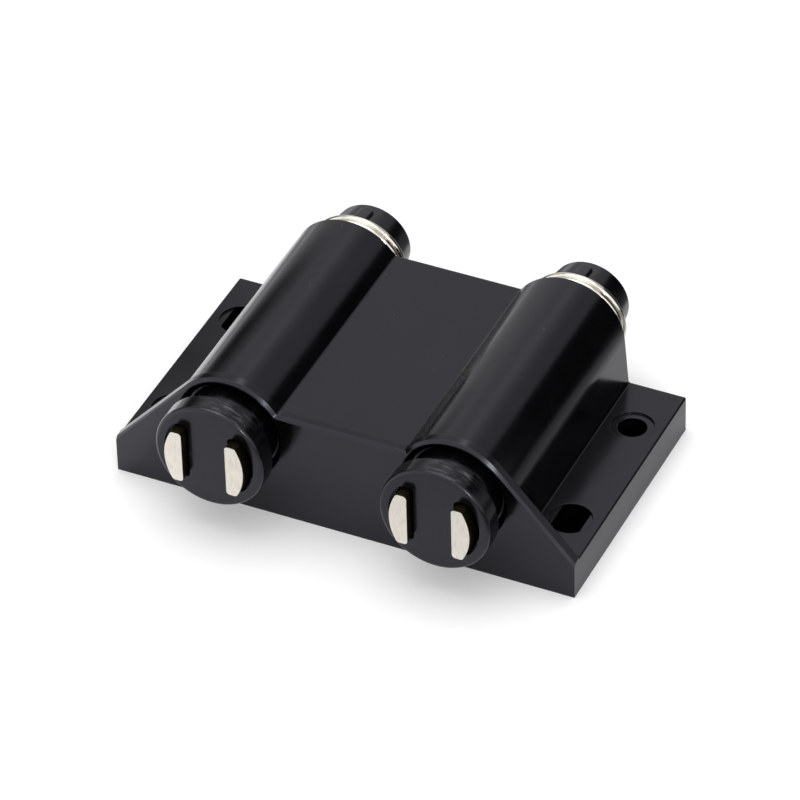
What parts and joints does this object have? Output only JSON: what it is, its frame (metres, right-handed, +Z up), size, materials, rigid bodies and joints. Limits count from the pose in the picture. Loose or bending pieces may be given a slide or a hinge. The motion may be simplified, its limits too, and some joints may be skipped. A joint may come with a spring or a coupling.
{
  "type": "magnetic touch latch",
  "caption": "Double magnetic touch latch: two sprung plungers with pole plates slide in a flanged black housing and latch when pushed.",
  "frame": {"origin": "centre of the whole outline on the mounting face, midway between the two barrels", "axes": "+X across the two barrels, -Y out of the plungers towards the door, +Z up from the mounting face"},
  "size_m": [0.06, 0.0476, 0.0185],
  "materials": {
    "housing_plastic": "semi-gloss moulded black plastic",
    "plunger_plastic": "semi-gloss moulded black plastic with light scuffs",
    "cap_plastic": "semi-gloss moulded black plastic",
    "ferrite": "dark grey sintered ferrite",
    "nickel_steel": "bright nickel plate on steel",
    "spring_wire": "drawn spring steel",
    "ring_wire": "bright nickel-plated wire"
  },
  "bodies": {
    "housing": {"housing": "housing_plastic", "end_cap_left": "cap_plastic", "end_cap_right": "cap_plastic", "wire_ring_left": "ring_wire", "wire_ring_right": "ring_wire", "follower_leaf_left": "spring_wire", "follower_leaf_right": "spring_wire", "return_spring_left": "spring_wire", "return_spring_right": "spring_wire"},
    "plunger_left": {"plunger_head_left": "plunger_plastic", "plunger_left": "plunger_plastic", "magnet_left": "ferrite", "pole_plate_inner_left": "nickel_steel", "pole_plate_outer_left": "nickel_steel"},
    "follower_left": {"follower_left": "spring_wire"},
    "plunger_right": {"plunger_head_right": "plunger_plastic", "plunger_right": "plunger_plastic", "magnet_right": "ferrite", "pole_plate_inner_right": "nickel_steel", "pole_plate_outer_right": "nickel_steel"},
    "follower_right": {"follower_right": "spring_wire"}
  },
  "joints": [
    {"name": "plunger_slide_left", "type": "slide", "parent": "housing", "child": "plunger_left", "axis": [0, 1, 0], "range_m": [0, 0.0026], "stiffness_N_per_m": 400, "springref_m": -0.004, "deforming": ["return_spring_left"]},
    {"name": "follower_swing_left", "type": "hinge", "parent": "housing", "child": "follower_left", "pos_m": [-0.0146, 0.0065, 0.011], "axis": [0, 0, 1], "range_deg": [0, 5.6]},
    {"name": "plunger_slide_right", "type": "slide", "parent": "housing", "child": "plunger_right", "axis": [0, 1, 0], "range_m": [0, 0.0026], "stiffness_N_per_m": 400, "springref_m": -0.004, "deforming": ["return_spring_right"]},
    {"name": "follower_swing_right", "type": "hinge", "parent": "housing", "child": "follower_right", "pos_m": [0.0146, 0.0065, 0.011], "axis": [0, 0, 1], "range_deg": [0, 5.6]}
  ],
  "couplings": [
    {"joint": "follower_swing_left", "follows": "plunger_slide_left", "rad_per_m": 37.279},
    {"joint": "follower_swing_right", "follows": "plunger_slide_right", "rad_per_m": 37.279}
  ]
}
